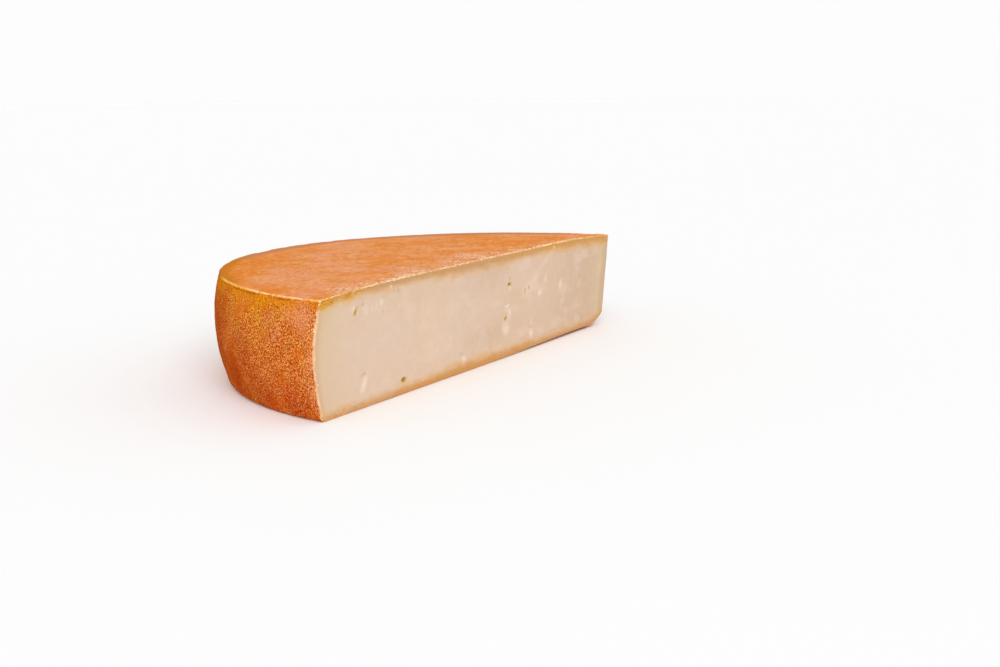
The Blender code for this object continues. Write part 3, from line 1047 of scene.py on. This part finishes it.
    normal = finish.bump(fine * 0.6 + lines * 0.4, 0.00020, 0.3)
    finish.set(base_color=colour, roughness=0.50 - smear * 0.1, normal=normal)
    shader = finish.shader.inputs
    shader["Specular IOR Level"].default_value = 0.25
    shader["Subsurface Weight"].default_value = 0.12
    shader["Subsurface Radius"].default_value = (1.0, 0.6, 0.35)
    shader["Subsurface Scale"].default_value = 0.003
    return finish.owner


half_wheel = finished_piece(form, "cheese_half_wheel", rind_finish(), paste_finish())
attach(half_wheel, "root")
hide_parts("half_wheel")


# Crumbs of paste and rind that the knife left along the top and upright edges of the cut. Each is a
# small squashed lump, sunk a little into what it sits on.
CRUMB_COUNT = 420
CRUMB_SIZES = (0.0003, 0.0011)
CRUMB_SPREAD = 0.0008
CRUMB_ROUGHNESS = 0.35
NEAR_END = -0.140
CLEAR_OF_TABLE = 0.001
rough = random.Random(20)

form = bmesh.new()
top_edge = [place for place in edge_places if place.z > RIM_HEIGHT - TOP_EDGE_DEPTH]
top_edge.sort(key=lambda place: place.x)
near_edge = [place for place in edge_places if place.x < NEAR_END and place.z > CLEAR_OF_TABLE]
near_edge.sort(key=lambda place: place.z)
for number in range(CRUMB_COUNT):
    spots = near_edge if number % 4 == 0 else top_edge
    spot = spots[int(rough.random() * len(spots))]
    if spots is top_edge and rough.random() > pale_share(spot.x - wheel_axis.x):
        continue
    size = CRUMB_SIZES[0] + (CRUMB_SIZES[1] - CRUMB_SIZES[0]) * rough.random() ** 2.5
    made = bmesh.ops.create_icosphere(form, subdivisions=1, radius=size / 2)["verts"]
    for corner in made:
        corner.co *= 1 + CRUMB_ROUGHNESS * rough.uniform(-1, 1)
    squash = (rough.uniform(0.8, 1.5), rough.uniform(0.8, 1.3), rough.uniform(0.45, 0.8))
    bmesh.ops.scale(form, vec=squash, verts=made)
    turn = Matrix.Rotation(rough.uniform(0, math.tau), 3, "Z")
    bmesh.ops.rotate(form, matrix=turn, verts=made)
    inwards = Vector((0, rough.random() ** 2 * CRUMB_SPREAD, 0))
    if spots is near_edge:
        inwards = Vector((rough.random() ** 2 * CRUMB_SPREAD, -0.0001, 0))
    bmesh.ops.translate(form, vec=spot + inwards, verts=made)
for face in form.faces:
    face.smooth = True


def crumb_finish():
    """Dry paste with a trace of rind rubbed into it, so from cream to pale orange."""
    finish = Finish(bpy.data.materials.new("crumb_paste"))
    place = finish.place()
    mixed = finish.clouds(place, 0.0016, 1.0)
    orange = finish.rise(mixed, 0.40, 0.65)
    colour = finish.mix(tint(250, 222, 182), tint(244, 194, 138), orange)
    finish.set(base_color=colour, roughness=0.6 + mixed * 0.1, normal=finish.bump(mixed, 0.0002, 0.4))
    return finish.owner


crumbs = finished_piece(form, "cut_edge_crumbs", crumb_finish())
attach(crumbs, "root")


# The table: one smooth pale sheet, large enough to reach the horizon in every view.
FLOOR_SIZE = 30.0
FLOOR_COLOUR = (0.98, 0.98, 0.98, 1.0)
form = bmesh.new()
bmesh.ops.create_grid(form, x_segments=1, y_segments=1, size=FLOOR_SIZE / 2)
floor_finish = Finish(bpy.data.materials.new("table_white"))
floor_finish.set(base_color=FLOOR_COLOUR, roughness=0.7)
floor_finish.shader.inputs["Specular IOR Level"].default_value = 0.1
floor = finished_piece(form, "table", floor_finish.owner)


# The light: a white studio sweep that is brightest at the horizon, and one very soft lamp far off in
# front, above and to the left. The view is shown as it is, with no film look.
HORIZON_GLOW = 0.98
OVERHEAD_GLOW = 0.73
GLOW_LOW = 0.08
GLOW_HIGH = 0.42
LAMP_STRENGTH = 1.40
LAMP_ANGLE = math.radians(45)
LAMP_FROM = Vector((-0.60, -0.55, 0.60))
sweep = Finish(bpy.data.worlds.new("studio_sweep"), "Background")
upward = sweep.part(sweep.node("ShaderNodeTexCoord", {}, {}, "Generated"), "Z")
glow_range = {0: upward, 1: GLOW_LOW, 2: GLOW_HIGH, 3: HORIZON_GLOW, 4: OVERHEAD_GLOW}
sweep.set(color=(1.0, 1.0, 1.0, 1.0), strength=sweep.node("ShaderNodeMapRange", {}, glow_range))
bpy.context.scene.world = sweep.owner
bpy.context.scene.view_settings.view_transform = "Standard"
lamp_light = bpy.data.lights.new("soft_lamp", "SUN")
lamp_light.energy = LAMP_STRENGTH
lamp_light.angle = LAMP_ANGLE
lamp = bpy.data.objects.new("soft_lamp", lamp_light)
lamp.rotation_euler = LAMP_FROM.to_track_quat("Z", "Y").to_euler()
bpy.context.collection.objects.link(lamp)


# The camera, at about arm's length and a little above, looking along the cut from its near end.
CAMERA_PLACE = Vector((-0.6273, -0.4563, 0.1560))
CAMERA_WAY = Vector((0.8458, 0.5008, -0.1840))
CAMERA_ROLL = -0.01228
CAMERA_LENS = 47.10
camera_data = bpy.data.cameras.new("camera")
camera_data.lens = CAMERA_LENS
camera_data.sensor_width = 36.0
camera_data.clip_start = 0.01
camera = bpy.data.objects.new("camera", camera_data)
upright = CAMERA_WAY.to_track_quat("-Z", "Y").to_matrix()
turned = upright @ Matrix.Rotation(CAMERA_ROLL, 3, "Z")
camera.matrix_world = Matrix.Translation(CAMERA_PLACE) @ turned.to_4x4()
bpy.context.collection.objects.link(camera)
bpy.context.scene.camera = camera
